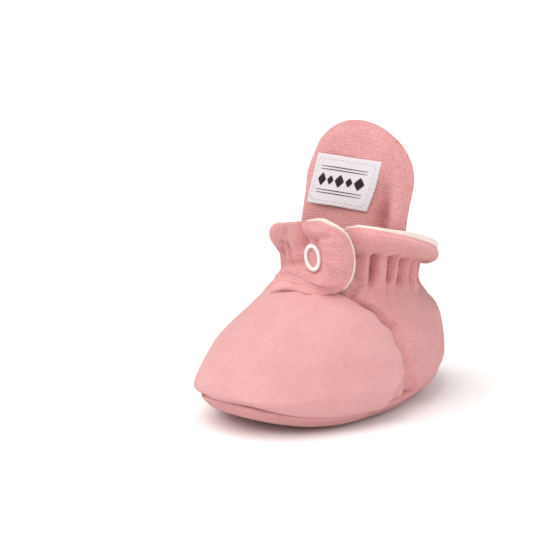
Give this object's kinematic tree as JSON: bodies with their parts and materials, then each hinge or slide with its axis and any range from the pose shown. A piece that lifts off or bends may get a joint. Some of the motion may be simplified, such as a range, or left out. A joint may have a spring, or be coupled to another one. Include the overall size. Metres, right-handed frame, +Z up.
{
  "type": "baby bootie",
  "caption": "Soft left-foot baby bootie: padded sole, puffed toe panel, elastic ankle with flared cuff, wrap-over flap with a ring snap, and a tall tongue.",
  "frame": {"origin": "centre of the bounding box in plan, at the underside of the sole", "axes": "+Z up, -Y towards the toe, +X towards the outer side of the foot"},
  "size_m": [0.0673, 0.112, 0.0983],
  "materials": {
    "knit_velour": "brushed pink knit",
    "cotton_lining": "cream cotton jersey",
    "padding": "matte wadding",
    "elastic": "woven elastic",
    "thread": "matte sewing thread",
    "label_weave": "fine satin weave",
    "label_thread": "matte sewing thread",
    "snap_enamel": "glossy enamel",
    "snap_metal": "satin enamel"
  },
  "bodies": {
    "bootie": {"outsole": "knit_velour", "sole_padding": "padding", "insole": "cotton_lining", "toe_panel": "knit_velour", "toe_panel_lining": "cotton_lining", "outer_quarter": "knit_velour", "outer_quarter_lining": "cotton_lining", "inner_quarter": "knit_velour", "inner_quarter_lining": "cotton_lining", "ankle_elastic": "elastic", "casing_thread_lower": "thread", "casing_thread_upper": "thread", "underlap": "knit_velour", "underlap_lining": "cotton_lining", "snap_stud": "snap_metal", "snap_back_ring": "snap_enamel", "tongue_base": "knit_velour", "tongue_base_lining": "cotton_lining"},
    "flap": {"flap": "knit_velour", "flap_lining": "cotton_lining", "snap_ring": "snap_enamel", "snap_socket": "snap_metal"},
    "tongue": {"tongue": "knit_velour", "tongue_padding": "padding", "tongue_lining": "cotton_lining", "woven_label": "label_weave", "label_thread": "label_thread"}
  },
  "joints": [
    {"name": "flap_open", "type": "hinge", "parent": "bootie", "child": "flap", "pos_m": [-0.013, -0.0058, 0.057], "axis": [0, 0, -1], "range_deg": [0, 110]},
    {"name": "tongue_fold", "type": "hinge", "parent": "bootie", "child": "tongue", "pos_m": [0.00376, 0.00695, 0.06], "axis": [0.9781, 0.2079, 0], "range_deg": [-25, 45], "stiffness_Nm_per_rad": 0.01}
  ]
}
